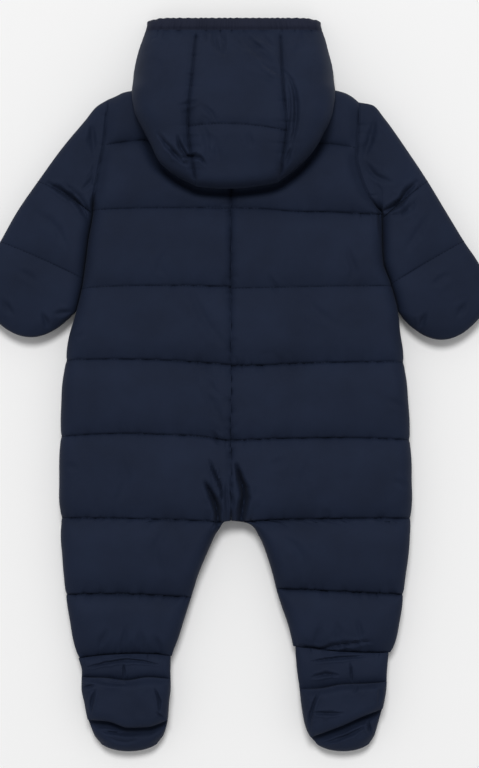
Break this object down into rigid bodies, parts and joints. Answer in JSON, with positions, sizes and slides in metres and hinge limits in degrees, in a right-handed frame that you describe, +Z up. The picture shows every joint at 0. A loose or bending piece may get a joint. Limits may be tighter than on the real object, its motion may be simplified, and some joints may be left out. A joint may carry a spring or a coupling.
{
  "type": "baby snowsuit",
  "caption": "Padded, quilted one-piece baby snowsuit with thrown-back hood, closed mitts and feet, laid flat on its front.",
  "frame": {"origin": "centre of the bounding box in plan, on the surface that the suit lies on", "axes": "+Y from the feet to the hood, +X to the wearer's right, +Z up out of the suit's back"},
  "size_m": [0.4508, 0.6501, 0.0709],
  "materials": {
    "cloth": "matt woven polyamide, navy",
    "casing": "matt gathered woven polyamide, navy",
    "zip": "woven zip tape with moulded teeth, navy"
  },
  "bodies": {
    "root": {"back_left": "cloth", "back_right": "cloth", "front_left": "cloth", "front_right": "cloth", "front_zip": "zip", "sleeve_left_back": "cloth", "sleeve_left_front": "cloth", "sleeve_right_back": "cloth", "sleeve_right_front": "cloth", "hood_left": "cloth", "hood_centre": "cloth", "hood_right": "cloth", "hood_casing": "casing", "ankle_band_left": "cloth", "ankle_band_right": "cloth", "foot_left_toe": "cloth", "foot_left_sole": "cloth", "foot_right_toe": "cloth", "foot_right_sole": "cloth"}
  },
  "joints": []
}
